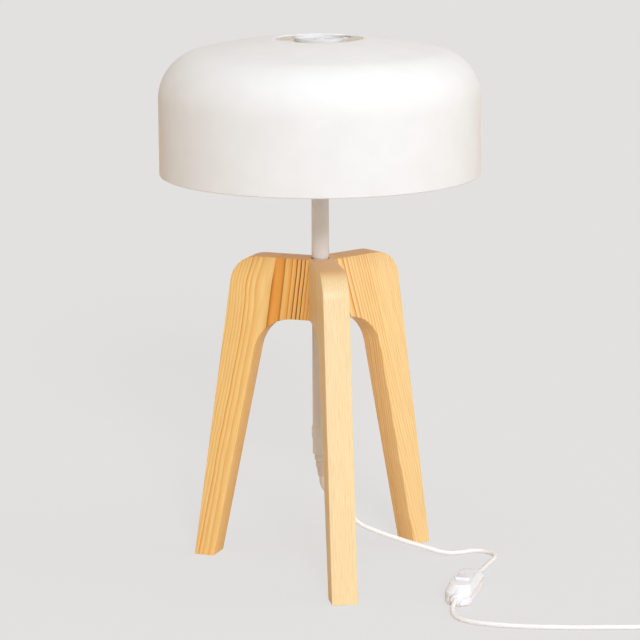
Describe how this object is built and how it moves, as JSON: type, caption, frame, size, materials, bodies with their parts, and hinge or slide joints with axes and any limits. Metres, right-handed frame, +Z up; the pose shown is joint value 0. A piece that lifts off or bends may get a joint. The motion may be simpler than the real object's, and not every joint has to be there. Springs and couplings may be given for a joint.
{
  "type": "tripod table lamp",
  "caption": "Table lamp with a wide white drum-and-dome metal shade on a short tube, a tripod of mitred pine boards, and a lead with an in-line rocker switch.",
  "frame": {"origin": "on the floor under the tube's axis, at the centre of the lamp's box without its lead", "axes": "+Z up along the tube, -Y towards the viewer and the front leg, +X to the viewer's right, where the lead runs"},
  "size_m": [0.5615, 0.3738, 0.5424],
  "materials": {
    "pine": "clear satin lacquer on solid pine, grain along each leg",
    "shade_paint": "matte white powder coat inside and out",
    "tube_paint": "satin white paint",
    "carrier_paint": "satin white paint",
    "zinc_steel": "bright zinc plate",
    "nickel": "nickel plate",
    "brass": "bright brass",
    "white_plastic": "moulded white plastic, fine satin",
    "ceramic": "unglazed ivory steatite",
    "opal_glass": "opal, frosted",
    "black_glass": "black insulating glass",
    "cord_sheath": "soft white sheath",
    "wire_sheath": "brown and blue wire insulation",
    "tie_plastic": "dark plastic"
  },
  "bodies": {
    "lamp": {"leg_front": "pine", "leg_right": "pine", "leg_left": "pine", "hub_plate": "zinc_steel", "hub_screws": "zinc_steel", "hub_nipple": "zinc_steel", "stem_tube": "tube_paint", "lower_tube": "tube_paint", "tube_inserts": "brass", "gland_body": "white_plastic", "strain_relief": "cord_sheath", "inner_cord": "cord_sheath", "holder_nipple": "zinc_steel", "holder_washer": "zinc_steel", "holder_nut": "zinc_steel", "holder_base": "white_plastic", "holder_sleeve": "white_plastic", "holder_insert": "ceramic", "screw_shell": "brass", "centre_contact": "brass", "holder_terminals": "brass", "holder_wires": "wire_sheath", "harp": "carrier_paint", "spider": "carrier_paint", "shade": "shade_paint", "top_cap": "carrier_paint", "cap_screw": "zinc_steel", "cap_nut": "zinc_steel", "cord_lamp": "cord_sheath", "switch_base": "white_plastic", "switch_cover": "white_plastic", "switch_pin": "zinc_steel", "switch_contacts": "brass", "switch_terminals": "brass", "switch_wires": "wire_sheath", "cord_clamps": "white_plastic", "switch_screws": "zinc_steel", "cord_lead": "cord_sheath", "cord_coil": "cord_sheath", "coil_tie": "tie_plastic", "cord_tail": "cord_sheath", "plug_body": "white_plastic", "plug_pins": "nickel", "pin_sleeves": "tie_plastic"},
    "bulb": {"bulb_globe": "opal_glass", "bulb_body": "white_plastic", "bulb_cap": "nickel", "bulb_insulator": "black_glass", "bulb_contact": "nickel"},
    "rocker": {"switch_rocker": "white_plastic"}
  },
  "joints": [
    {"name": "bulb_turn", "type": "hinge", "parent": "lamp", "child": "bulb", "pos_m": [0, 0, 0.45], "axis": [0, 0, 1], "continuous": true},
    {"name": "switch_rock", "type": "hinge", "parent": "lamp", "child": "rocker", "pos_m": [0.141, -0.106, 0.0145], "axis": [0.9613, -0.2756, 0], "range_deg": [0, 14]}
  ]
}
